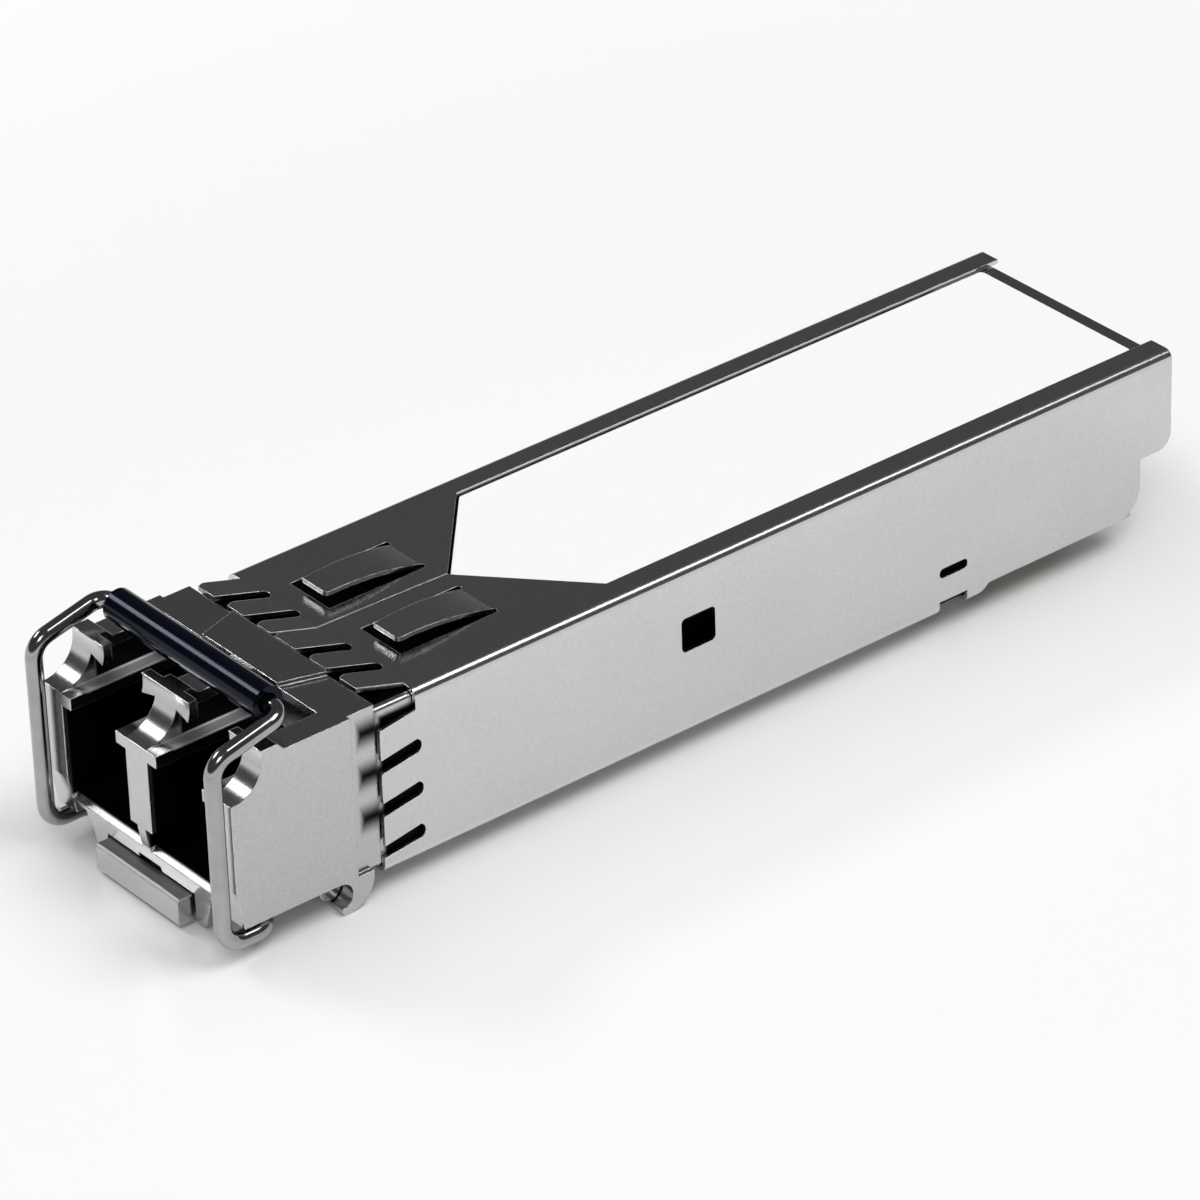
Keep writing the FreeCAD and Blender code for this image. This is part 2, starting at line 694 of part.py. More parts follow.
def slot_mouth(right):
    """The right side of a slanted cut at the tip, where it takes off the sharp corner of a finger."""
    return [
        (f"{right} - {CORNER_SLANT} + finger_corner", PAST_TIP),
        rounded(f"{right} - {CORNER_SLANT}", CORNER_Y, "finger_round"),
    ]


def finger_slot(middle):
    """A slanted slot across the top fingers, with a round root."""
    return [
        (f"{middle} - {HALF_SLOT} - finger_slant * {LEAN}", PAST_TIP),
        *slot_mouth(f"{middle} + {HALF_SLOT}"),
        bowed(f"{middle} + {HALF_SLOT}", ROOT, SLOT_CROWN),
        (f"{middle} - {HALF_SLOT}", ROOT),
    ]


def straight_slot(middle):
    """A slot across the bottom fingers, with a round root."""
    return [
        (f"{middle} - {HALF_SLOT}", PAST_TIP),
        (f"{middle} + {HALF_SLOT}", PAST_TIP),
        bowed(f"{middle} + {HALF_SLOT}", ROOT, SLOT_CROWN),
        (f"{middle} - {HALF_SLOT}", ROOT),
    ]


def side_finger_slot(number):
    """A slot across the side fingers, counted up from the middle one."""
    v = f"side_finger_height + {number} * side_finger_pitch"
    tip = f"{v} - side_finger_drop * {LEAN}"
    return [
        (PAST_TIP, f"{tip} - {HALF_SLOT}"),
        bowed(ROOT, f"{v} - {HALF_SLOT}", SLOT_CROWN),
        (ROOT, f"{v} + {HALF_SLOT}"),
        (PAST_TIP, f"{tip} + {HALF_SLOT}"),
    ]


OVER = "(body_height + tongue_rise + top_finger_rise + sheet_gauge)"
UNDER = "(-side_finger_rise - sheet_gauge)"
LAST_SLOT = f"({OUTER_SLOT} + top_finger_pitch)"
right_gap = [
    (f"{LAST_SLOT} - {HALF_SLOT} - finger_slant * {LEAN}", PAST_TIP),
    (INNER_SIDE, PAST_TIP),
    (INNER_SIDE, ROOT),
    (f"{LAST_SLOT} - {HALF_SLOT}", ROOT),
]
left_gap = [
    (f"-{SIDE} - sheet_gauge", PAST_TIP),
    *slot_mouth(f"{HALF_SLOT} - {LAST_SLOT}"),
    (f"{HALF_SLOT} - {LAST_SLOT}", ROOT),
    (f"-{SIDE} - sheet_gauge", ROOT),
]
top_slots = [f"-{OUTER_SLOT}", "-top_finger_place", "top_finger_place", OUTER_SLOT]
pocket(sleeve, "top_finger_slots", "XY", f"{INNER_TOP} - sheet_gauge", OVER,
       right_gap, left_gap, *[finger_slot(middle) for middle in top_slots])
pocket(sleeve, "bottom_finger_slots", "XY", UNDER, "2 * sheet_gauge",
       straight_slot(f"-{OUTER_SLOT}"), straight_slot(OUTER_SLOT))
TOP_GAP = f"(side_finger_height + 2 * side_finger_pitch - {HALF_SLOT})"
pocket(sleeve, "side_finger_slots", "YZ", f"-{SIDE} - sheet_gauge", f"{SIDE} + sheet_gauge",
       side_finger_slot(-1), side_finger_slot(0), side_finger_slot(1),
       [(PAST_TIP, f"{TOP_GAP} - side_finger_drop * {LEAN}"), (ROOT, TOP_GAP),
        (ROOT, INNER_TOP), (PAST_TIP, INNER_TOP)])
pocket(sleeve, "boss_gap", "XY", UNDER, "2 * sheet_gauge",
       rectangle(f"-{WELL_SIDE}", WELL_SIDE, PAST_TIP, WELL_END))

# Top of the sleeve: the seam of the two flaps and the arrow-fronted opening over the roof.
RAIL_INNER = f"({SIDE} - rail_width)"
SEAM_X = "(-seam_lean)"
pocket(sleeve, "seam", "XY", f"{INNER_TOP} - sheet_gauge", OVER, [
    (f"{SEAM_X} - seam_gap / 2 - finger_slant * {LEAN}", PAST_TIP),
    *slot_mouth(f"{SEAM_X} + seam_gap / 2"),
    (f"{SEAM_X} + seam_gap / 2", ROOT),
    ("seam_gap / 2", "rail_width - opening_tip"),
    ("-seam_gap / 2", "rail_width - opening_tip"),
    (f"{SEAM_X} - seam_gap / 2", ROOT),
])
pocket(sleeve, "label_opening", "XY", f"{INNER_TOP} - sheet_gauge", OVER, [
    ("0", "-opening_tip"),
    (RAIL_INNER, "-opening_shoulder"),
    (RAIL_INNER, "rail_width"),
    (f"-{RAIL_INNER}", "rail_width"),
    (f"-{RAIL_INNER}", "-opening_shoulder"),
])

# Two lanced tongues that bow up out of the top flaps, each with a tapered left edge.
TONGUE_ROOT_Y = "(-tongue_root)"
TONGUE_TIP = "(-tongue_root - tongue_length)"
TONGUE_FRONT = f"({TONGUE_TIP} - tongue_tip_gap)"
TONGUE_CROWN = "tongue_slot / 3"
for place, right in (("left", "(-tongue_edge)"), ("right", "(tongue_spacing - tongue_edge)")):
    left = f"({right} - tongue_width)"
    pocket(sleeve, place + "_tongue_slot", "XY", f"{INNER_TOP} - sheet_gauge", OVER, [
        (f"{left} - tongue_slot", TONGUE_FRONT),
        (f"{right} + tongue_slot", TONGUE_FRONT),
        bowed(f"{right} + tongue_slot", TONGUE_ROOT_Y, TONGUE_CROWN),
        (right, TONGUE_ROOT_Y),
        bowed(left, TONGUE_ROOT_Y, TONGUE_CROWN),
        (f"{left} - tongue_slot", TONGUE_ROOT_Y),
    ])
    pad(sleeve, place + "_tongue", "YZ", left, right, [
        bowed(TONGUE_TIP, f"{INNER_TOP} + tongue_rise", "-tongue_bow"),
        (TONGUE_ROOT_Y, INNER_TOP),
        bowed(TONGUE_ROOT_Y, "body_height", "tongue_bow"),
        (TONGUE_TIP, "body_height + tongue_rise"),
    ])
    pocket(sleeve, place + "_tongue_trim", "XY", f"{INNER_TOP} - sheet_gauge", OVER,
           [(left, TONGUE_ROOT_Y), (left, TONGUE_FRONT), (f"{left} + tongue_taper", TONGUE_FRONT)],
           [(f"{right} - tongue_tip_round", TONGUE_FRONT),
            (f"{right} + tongue_slot / 2", TONGUE_FRONT),
            (f"{right} + tongue_slot / 2", f"{TONGUE_TIP} + tongue_tip_round"),
            bowed(right, f"{TONGUE_TIP} + tongue_tip_round", "-tongue_tip_round * (1 - sqrt(0.5))"),
            (f"{right} - tongue_tip_round", TONGUE_TIP)])

# Sides of the sleeve: windows with a bent-in tab, slots, and the stepped rear end.
WINDOW_TOP = "(window_bottom + window_height)"
SLOT_REAR = "(side_slot_length - side_slot_front)"
window = rectangle("-window_front", WINDOW_REAR, "window_bottom", WINDOW_TOP)
slot = rectangle("-side_slot_front", SLOT_REAR,
                 "side_slot_level - side_slot_height / 2", "side_slot_level + side_slot_height / 2")
pocket(sleeve, "side_windows", "YZ", f"-{SIDE}", SIDE,
       [rounded(u, v, "window_round") for u, v in window],
       [rounded(u, v, "side_slot_round") for u, v in slot])
notch = rectangle("-side_slot_front", SLOT_REAR, "0", "side_notch_height")
pocket(sleeve, "right_notch", "YZ", f"{SIDE} - side_slot_length", SIDE, notch)
pocket(sleeve, "left_notch", "YZ", f"-{SIDE}", f"side_slot_length - {SIDE}", notch)
pocket(sleeve, "rear_end", "YZ", f"-{SIDE}", SIDE, [
    ("-underside_setback", "-sheet_gauge"),
    ("-underside_setback", "0"),
    ("underside_ramp - underside_setback", "underside_rise"),
    rounded("-rear_step_length", "underside_rise", "rear_foot_round"),
    ("-rear_step_length", "rear_step_height"),
    rounded("0", "rear_step_height", "rear_step_round"),
    ("0", "body_height / 2 + rear_step_round"),
    ("sheet_gauge", "body_height / 2 + rear_step_round"),
    ("sheet_gauge", "-sheet_gauge"),
])
bent_tab = [
    (f"{INNER_SIDE} - window_tab + sheet_gauge / 2", f"{WINDOW_TOP} - window_tab + sheet_gauge / 2"),
    (f"{SIDE} - window_tab", f"{WINDOW_TOP} - window_tab"),
    (SIDE, WINDOW_TOP),
    (f"{SIDE} - sheet_gauge / 2", f"{WINDOW_TOP} + sheet_gauge / 2"),
    (INNER_SIDE, f"{WINDOW_TOP} + sheet_gauge / 2"),
]
pad(sleeve, "window_tabs", "XZ", "window_round - window_front", f"{WINDOW_REAR} - window_round",
    bent_tab, mirrored(bent_tab))
placed(sleeve)

# Bail: one bent wire, with a coined flat at each end that works as a cam under the nose.


def bent_wire(points, bends, diameter):
    """A round wire: straight runs that tangent arcs join."""
    pieces = []
    start = points[0]
    for before, corner, after, bend in zip(points, points[1:], points[2:], bends):
        back = (before - corner).normalize()
        ahead = (after - corner).normalize()
        half = back.getAngle(ahead) / 2
        enter = corner + back * (bend / math.tan(half))
        across = (back + ahead).normalize()
        centre = corner + across * (bend / math.sin(half))
        turn = 180 - math.degrees(2 * half)
        pieces.append(wire_end(start, enter - start, diameter).extrude(enter - start))
        pieces.append(wire_end(enter, -back, diameter).revolve(centre, ahead.cross(back), turn))
        start = corner + ahead * (bend / math.tan(half))
    pieces.append(wire_end(start, points[-1] - start, diameter).extrude(points[-1] - start))
    return pieces[0].fuse(pieces[1:])


def wire_end(place, direction, diameter):
    return Part.Face(Part.Wire(Part.Circle(place, direction, diameter / 2).toShape()))


half_path = [
    (CAM_OUTER, BAIL_Y, "bail_level"),
    (LEG_X, BAIL_Y, "bail_level"),
    (LEG_X, LEG_Y, "bail_level"),
    (LEG_X, LEG_Y, "bail_shoulder"),
    (LEG_X, BAR_Y, "bail_bar_level"),
]
right_path = [Vector(value(x), value(y), value(z)) for x, y, z in half_path]
left_path = [Vector(-p.x, p.y, p.z) for p in reversed(right_path)]
bends = [value(name) for name in ("bail_bend", "bail_bend", "bail_bend", "bail_bar_bend")]
bail_shape = bent_wire(right_path + left_path, bends + bends[::-1], value("wire_diameter"))
cam_size = [value(name) for name in ("cam_length", "cam_width", "cam_thickness")]
for cam_left in (value(CAM_INNER), -value(CAM_OUTER)):
    corner = Vector(cam_left, value(BAIL_Y) - cam_size[1] / 2, value("bail_level") - cam_size[2] / 2)
    bail_shape = bail_shape.fuse(Part.makeBox(*cam_size, corner))
bail = doc.addObject("Part::Feature", "bail_wire")
bail.Label = "bail_wire"
bail.Shape = bail_shape.removeSplitter()
placed(bail)
nodes.append(bail)

# Grip: a loose tube on the bail's top bar.
grip_outer = doc.addObject("Part::Cylinder", "grip_outer")
grip_bore = doc.addObject("Part::Cylinder", "grip_bore")
grip_outer.setExpression("Radius", bound("grip_diameter / 2"))
grip_bore.setExpression("Radius", bound("wire_diameter / 2 + grip_clearance"))
for cylinder in (grip_outer, grip_bore):
    cylinder.setExpression("Height", bound("grip_length"))
grip = doc.addObject("Part::Cut", "bail_grip")
grip.Label = "bail_grip"
grip.Base = grip_outer
grip.Tool = grip_bore
grip.Placement.Rotation = FreeCAD.Rotation(Vector(0, 1, 0), 90)
placed(grip, "-grip_length / 2", BAR_Y, "bail_bar_level")
nodes.append(grip)

# Latch lever: a tab at the front, trunnions in the ears, and the latch boss on the rear arm.
lever = new_body("latch_lever")
TAB_FRONT = f"({NOSE_FRONT} - tab_front)"
pad(lever, "front_arm", "YZ", f"-{LEVER_SIDE}", LEVER_SIDE, [
    rounded(TAB_FRONT, "tab_bottom", "tab_round"),
    (f"{TRUNNION_Y} - trunnion_diameter / 2", "tab_bottom"),
    (f"{TRUNNION_Y}", "trunnion_level - trunnion_diameter / 2"),
    (f"{TRUNNION_Y}", "lever_top"),
    (f"{TAB_FRONT} + tab_thickness", "lever_top"),
    (f"{TAB_FRONT} + tab_thickness", "tab_top"),
    rounded(TAB_FRONT, "tab_top", "tab_round"),
])
TRUNNION_END = f"({NOSE_SIDE} - trunnion_end_gap)"
pad(lever, "trunnions", "YZ", f"-{TRUNNION_END}", TRUNNION_END,
    ("circle", TRUNNION_Y, "trunnion_level", "trunnion_diameter / 2"))
pad(lever, "rear_arm", "XY", "0", "rear_arm_thickness",
    rectangle("-rear_arm_width / 2", "rear_arm_width / 2", TRUNNION_Y, LEVER_END))
pad(lever, "boss", "YZ", "-boss_width / 2", "boss_width / 2", [
    (f"{LEVER_END} - boss_length", "-boss_height"),
    (f"{LEVER_END} - boss_ramp", "-boss_height"),
    (LEVER_END, "0"),
    (LEVER_END, "rear_arm_thickness"),
    (f"{LEVER_END} - boss_length", "rear_arm_thickness"),
])
cam_seat = rectangle(f"{CAM_INNER} - cam_clearance", LEVER_SIDE,
                     f"{BAIL_Y} - cam_width / 2 - cam_clearance",
                     f"{BAIL_Y} + cam_width / 2 + cam_clearance")
pocket(lever, "cam_seats", "XY", "bail_level - cam_thickness / 2 - cam_clearance", "tab_top",
       cam_seat, mirrored(cam_seat))
placed(lever)

# Leaf spring that bows down from the roof of the lever's well.
spring = new_body("latch_spring")
SPRING_FRONT = f"({TRUNNION_Y} + trunnion_diameter / 2 + spring_end_gap)"
SPRING_REAR = f"({WELL_END} - spring_end_gap)"
pad(spring, "leaf", "YZ", "-spring_width / 2", "spring_width / 2", [
    bowed(SPRING_FRONT, "lever_well_height - spring_thickness", "spring_sag"),
    (SPRING_REAR, "lever_well_height - spring_thickness"),
    bowed(SPRING_REAR, "lever_well_height", "-spring_sag"),
    (SPRING_FRONT, "lever_well_height"),
])
placed(spring)

# Optics: a moulded barrel on each port axis, with the can of its laser or detector behind.
NOZZLE_TIP = f"({BAY_FRONT} - port_wall - nozzle_reach)"
GROOVE_FRONT = f"({BAY_FRONT} + flange_thickness)"
GROOVE_REAR = f"({GROOVE_FRONT} + groove_width)"
TAIL_FRONT = f"({GROOVE_REAR} + flange_thickness)"
TAIL_REAR = f"({TAIL_FRONT} + barrel_tail)"
HEADER_REAR = f"({TAIL_REAR} + header_thickness)"
FLEX_FRONT = f"({HEADER_REAR} + flex_gap)"
barrel_profile = [
    ("0", f"{NOZZLE_TIP} + ferrule_depth"),
    ("ferrule_bore / 2", f"{NOZZLE_TIP} + ferrule_depth"),
    ("ferrule_bore / 2", f"{NOZZLE_TIP} + bore_mouth"),
    ("ferrule_bore / 2 + bore_mouth", NOZZLE_TIP),
    ("nozzle_diameter / 2 - bore_mouth", NOZZLE_TIP),
    ("nozzle_diameter / 2", f"{NOZZLE_TIP} + bore_mouth"),
    ("nozzle_diameter / 2", BAY_FRONT),
    ("flange_diameter / 2", BAY_FRONT),
    ("flange_diameter / 2", GROOVE_FRONT),
    ("groove_diameter / 2", GROOVE_FRONT),
    ("groove_diameter / 2", GROOVE_REAR),
    ("flange_diameter / 2", GROOVE_REAR),
    ("flange_diameter / 2", TAIL_FRONT),
    ("barrel_diameter / 2", TAIL_FRONT),
    ("barrel_diameter / 2", TAIL_REAR),
    ("can_diameter / 2 + can_clearance", TAIL_REAR),
    ("can_diameter / 2 + can_clearance", f"{TAIL_REAR} - can_height - can_clearance"),
    ("0", f"{TAIL_REAR} - can_height - can_clearance"),
]
can_profile = [
    ("0", f"{TAIL_REAR} - can_height"),
    ("can_diameter / 2", f"{TAIL_REAR} - can_height"),
    ("can_diameter / 2", TAIL_REAR),
    ("header_diameter / 2", TAIL_REAR),
    ("header_diameter / 2", HEADER_REAR),
    ("0", HEADER_REAR),
]
for side, can_name, lead_angles, axis_x in (
        ("transmit", "laser", (15, 90, 165), "-port_pitch / 2"),
        ("receive", "detector", (15, 65, 115, 165), "port_pitch / 2")):
    barrel = new_body(side + "_barrel")
    revolve(barrel, side + "_moulding", barrel_profile)
    placed(barrel, axis_x, "0", "port_level")

    can = new_body(can_name + "_can")
    revolve(can, can_name + "_cap_and_header", can_profile)
    placed(can, axis_x, "0", "port_level")

    leads = []
    holes = []
    for number, angle in enumerate(lead_angles):
        lead_u = f"lead_circle / 2 * {math.cos(math.radians(angle)):.4f}"
        lead_v = f"lead_circle / 2 * {math.sin(math.radians(angle)):.4f}"
        leads.append(block(f"{can_name}_lead_{number}", f"({axis_x}) + {lead_u} - lead_width / 2", HEADER_REAR,
                           f"port_level + {lead_v} - lead_width / 2", "lead_width", "lead_length", "lead_width"))
        reach = "(lead_width / 2 + lead_hole_gap)"
        holes.append(rectangle(f"{lead_u} - {reach}", f"{lead_u} + {reach}",
                               f"{lead_v} - {reach}", f"{lead_v} + {reach}"))
    group(can_name + "_leads", leads)

    flex = new_body(side + "_flex")
    pad(flex, side + "_ribbon", "YZ", "-flex_width / 2", "flex_width / 2", [
        rounded(FLEX_FRONT, f"{BOARD_TOP} - port_level", "flex_bend"),
        (f"{BAY_REAR} + board_front_gap + flex_landing", f"{BOARD_TOP} - port_level"),
        (f"{BAY_REAR} + board_front_gap + flex_landing", f"{BOARD_TOP} - port_level + flex_thickness"),
        rounded(f"{FLEX_FRONT} + flex_thickness", f"{BOARD_TOP} - port_level + flex_thickness",
                "flex_bend - flex_thickness"),
        (f"{FLEX_FRONT} + flex_thickness", "flex_height"),
        (FLEX_FRONT, "flex_height"),
    ])
    pocket(flex, side + "_lead_holes", "XZ", FLEX_FRONT, f"{FLEX_FRONT} + flex_thickness", *holes)
    placed(flex, axis_x, "0", "port_level")

# Retainer: a comb pushed up from below into the grooves of both barrels.
retainer = new_body("optics_retainer")
RETAINER_SIDE = f"({BAY_SIDE} - retainer_clearance)"
pad(retainer, "comb", "XZ", f"{GROOVE_FRONT} + retainer_clearance", f"{GROOVE_REAR} - retainer_clearance",
    rectangle(f"-{RETAINER_SIDE}", RETAINER_SIDE, CORE_BOTTOM, "port_level"))
saddle = ("port_level", "groove_diameter / 2 + retainer_clearance")
pocket(retainer, "saddles", "XZ", GROOVE_FRONT, GROOVE_REAR,
       ("circle", "port_pitch / 2", *saddle), ("circle", "-port_pitch / 2", *saddle))
placed(retainer)

# Circuit board with its narrower edge-connector tongue.
board = new_body("circuit_board")
BOARD_SIDE = f"({BAY_SIDE} - board_side_gap)"
BOARD_FRONT = f"({BAY_REAR} + board_front_gap)"
TONGUE_SIDE = "(board_tongue_width / 2)"
TONGUE_ROOT = "(-board_rear - board_tongue_length)"
pad(board, "laminate", "XY", "board_underside", BOARD_TOP, [
    (f"-{BOARD_SIDE}", BOARD_FRONT),
    (BOARD_SIDE, BOARD_FRONT),
    (BOARD_SIDE, TONGUE_ROOT),
    (TONGUE_SIDE, TONGUE_ROOT),
    (TONGUE_SIDE, "-board_rear"),
    (f"-{TONGUE_SIDE}", "-board_rear"),
    (f"-{TONGUE_SIDE}", TONGUE_ROOT),
    (f"-{BOARD_SIDE}", TONGUE_ROOT),
])
BEVEL_Y = "(-board_rear - board_edge_bevel)"
pocket(board, "edge_bevels", "YZ", f"-{TONGUE_SIDE}", TONGUE_SIDE,
       [(BEVEL_Y, BOARD_TOP), ("-board_rear", f"{BOARD_TOP} - board_edge_bevel"), ("-board_rear", BOARD_TOP)],
       [(BEVEL_Y, "board_underside"), ("-board_rear", "board_underside"),
        ("-board_rear", "board_underside + board_edge_bevel")])
placed(board)

CONTACTS = 10
contacts = []
for number in range(CONTACTS):
    contact_x = f"{number - (CONTACTS - 1) / 2} * contact_pitch - contact_width / 2"
    for face, low in (("top", BOARD_TOP), ("bottom", "board_underside - contact_thickness")):
        contacts.append(block(f"{face}_contact_{number}", contact_x,
                              "-board_rear - contact_edge_gap - contact_length", low,
                              "contact_width", "contact_length", "contact_thickness"))
group("edge_contacts", contacts)


def chip(label, x, along, length, width, height):
    """A packaged chip flat on the board, with the corner of its first pin cut off.

    along is its middle, from the board's front edge.
    """
    body = new_body(label)
    right = f"(({length}) / 2)"
    rear = f"(({width}) / 2)"
    pad(body, label + "_package", "XY", "0", height, [
        (f"-{right}", f"-{rear}"),
        (right, f"-{rear}"),
        (right, rear),
        (f"chip_corner - {right}", rear),
        (f"-{right}", f"{rear} - chip_corner"),
    ])
    placed(body, x, f"{BOARD_FRONT} + {along}", BOARD_TOP)


chip("laser_driver_chip", "-port_pitch / 2", "driver_place", "driver_side", "driver_side", "driver_height")
chip("receiver_amplifier_chip", "port_pitch / 2", "driver_place",
     "driver_side", "driver_side", "driver_height")
chip("controller_chip", "0", "controller_place", "controller_side", "controller_side", "controller_height")
chip("memory_chip", "0", "memory_place", "memory_length", "memory_width", "memory_height")
chip("crystal", "-controller_side / 2 - crystal_width / 2", "crystal_place",
     "crystal_width", "crystal_length", "crystal_height")


def soldered(label, kind, spots):
    """Like two-ended parts on the board, each a plain solid about its middle."""
    solids = []
    for number, (x, along) in enumerate(spots):
        solids.append(block(f"{label}_{number}", f"{x} - {kind}_width / 2",
                            f"{BOARD_FRONT} + {along} - {kind}_length / 2", BOARD_TOP,
                            f"{kind}_width", f"{kind}_length", f"{kind}_height"))
    group(label, solids)


capacitor_spots = []
resistor_spots = [("0", "middle_resistor_place"), ("0", "middle_resistor_place + middle_resistor_pitch")]
inductor_spots = []
for side in ("-", ""):
    inductor_spots.append((f"{side}port_pitch / 2", "inductor_place"))
    for number in range(4):
        capacitor_spots.append((f"{side}capacitor_column", f"capacitor_place + {number} * capacitor_pitch"))
    for number in range(2):
        resistor_spots.append((f"{side}resistor_column", f"resistor_place + {number} * resistor_pitch"))
soldered("capacitors", "capacitor", capacitor_spots)
soldered("resistors", "resistor", resistor_spots)
soldered("inductors", "inductor", inductor_spots)

# Label on the roof, inside the sleeve's opening and with the same arrow front.
label = new_body("roof_label")
LABEL_SIDE = f"({RAIL_INNER} - label_margin)"
LABEL_SLOPE = f"((opening_tip - opening_shoulder) / {RAIL_INNER})"
LABEL_TIP = f"(label_margin * sqrt(1 + {LABEL_SLOPE} ^ 2) - opening_tip)"
pad(label, "paper", "XY", CORE_TOP, f"{CORE_TOP} + label_thickness", [
    rounded("0", LABEL_TIP, "label_round"),
    rounded(LABEL_SIDE, f"{LABEL_TIP} + {LABEL_SLOPE} * {LABEL_SIDE}", "label_round"),
    rounded(LABEL_SIDE, "-label_rear", "label_round"),
    rounded(f"-{LABEL_SIDE}", "-label_rear", "label_round"),
    rounded(f"-{LABEL_SIDE}", f"{LABEL_TIP} + {LABEL_SLOPE} * {LABEL_SIDE}", "label_round"),
])
placed(label)

# Stop on any failed object or bad shape, then write one file for each node.
doc.recompute()
for item in doc.Objects:
    if "Invalid" in item.State or "Error" in item.State:
        raise RuntimeError(f"{item.Label} did not build: {item.State}")
for node in nodes:
    if node.Shape.isNull() or not node.Shape.isValid() or not node.Shape.Solids:
        raise RuntimeError(f"{node.Label} has no valid solid")

os.makedirs("parts", exist_ok=True)
for node in nodes:
    node.Shape.exportStep(f"parts/{node.Label}.step")
    print(f"{node.Label}: {len(node.Shape.Solids)} solids, {node.Shape.Volume:.2f} mm3")
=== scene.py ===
import math

import bpy
from mathutils import Matrix, Vector

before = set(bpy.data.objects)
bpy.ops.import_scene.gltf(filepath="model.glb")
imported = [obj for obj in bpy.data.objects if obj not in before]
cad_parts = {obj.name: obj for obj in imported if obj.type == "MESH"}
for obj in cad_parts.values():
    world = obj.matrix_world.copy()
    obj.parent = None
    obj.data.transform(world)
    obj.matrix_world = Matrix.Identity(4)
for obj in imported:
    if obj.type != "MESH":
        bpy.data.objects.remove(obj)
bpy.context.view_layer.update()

# Housing: one zinc die casting that holds the two fibre ports and carries every other piece.
# It is barrel-plated with nickel. Its ports, the room under the sleeve and the neck by the ends of
# the sleeve's slots are painted dark as shade. Its latch ledges are milled, with a painted highlight on
# their tops.
MM = 0.001
# Noise seldom leaves this span, so a finish that is drawn from it varies over all of it.
NOISE_SPAN = {"From Min": 0.3, "From Max": 0.7}


def linear(hex_colour):
    """An sRGB hex colour as the linear colour that a shader takes."""
    parts = [int(hex_colour[i:i + 2], 16) / 255 for i in (1, 3, 5)]
    return [part / 12.92 if part <= 0.04045 else ((part + 0.055) / 1.055) ** 2.4 for part in parts] + [1.0]


def new_material(name):
    """An empty node material."""
    material = bpy.data.materials.new(name)
    material.use_nodes = True
    material.node_tree.nodes.clear()
    return material


def add(owner, kind, links=(), **settings):
    """Add one node: settings are its properties, links pair an input with a value or a socket."""
    node = owner.node_tree.nodes.new(kind)
    for name, setting in settings.items():
        setattr(node, name, setting)
    for name, source in dict(links).items():
        if isinstance(source, bpy.types.NodeSocket):
            owner.node_tree.links.new(source, node.inputs[name])
        else:
            node.inputs[name].default_value = source
    return node


def dress(node_name, material):
    """Give a node of the frame its material."""
    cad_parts[node_name].material_slots[0].material = material


def rubbed_edges_and_glint(material, place, width_mm):
    """Wear and a painted highlight, 0 on flats and up to 1 along edges, in the broken lengths that handling
    leaves.

    The normal that comes with it is rounded over the same width.
    """
    scuff_mm = 0.5
    flat_cosine, edge_cosine = 0.99, 0.80
    least_wear_and_glint = 0.1
    rounded = add(material, "ShaderNodeBevel", {"Radius": width_mm * MM}, samples=6)
    flat = add(material, "ShaderNodeNewGeometry")
    turn = add(material, "ShaderNodeVectorMath", {0: rounded.outputs[0], 1: flat.outputs["Normal"]},
               operation="DOT_PRODUCT")
    edge = add(material, "ShaderNodeMapRange", {
        "Value": turn.outputs["Value"], "From Min": flat_cosine, "From Max": edge_cosine})
    scuff = add(material, "ShaderNodeTexNoise", {
        "Vector": place, "Scale": 1 / (scuff_mm * MM), "Detail": 3.0})
    length = add(material, "ShaderNodeMapRange", {
        "Value": scuff.outputs["Fac"], "From Min": 0.40, "From Max": 0.62, "To Min": least_wear_and_glint})
    wear_and_glint = add(material, "ShaderNodeMath", {0: edge.outputs[0], 1: length.outputs[0]},
               operation="MULTIPLY")
    return wear_and_glint.outputs[0], rounded.outputs[0]


def inside(material, place, low_mm, high_mm, fade_mm):
    """1 within a room of the casting and 0 outside it, fading over a short way in from each side."""
    rise = add(material, "ShaderNodeMapping", {
        "Vector": place, "Scale": [1 / (fade * MM) for fade in fade_mm],
        "Location": [-low / fade for low, fade in zip(low_mm, fade_mm)]})
    fall = add(material, "ShaderNodeMapping", {
        "Vector": place, "Scale": [-1 / (fade * MM) for fade in fade_mm],
        "Location": [high / fade for high, fade in zip(high_mm, fade_mm)]})
    least = add(material, "ShaderNodeVectorMath", {0: rise.outputs[0], 1: fall.outputs[0]},
                operation="MINIMUM")
    sides = add(material, "ShaderNodeSeparateXYZ", {"Vector": least.outputs[0]})
    pair = add(material, "ShaderNodeMath", {0: sides.outputs["X"], 1: sides.outputs["Y"]},
               operation="MINIMUM")
    both = add(material, "ShaderNodeMath", {0: pair.outputs[0], 1: sides.outputs["Z"]},
               operation="MINIMUM")
    soft = add(material, "ShaderNodeMapRange", {"Value": both.outputs[0]}, interpolation_type="SMOOTHSTEP")
    return soft.outputs[0]


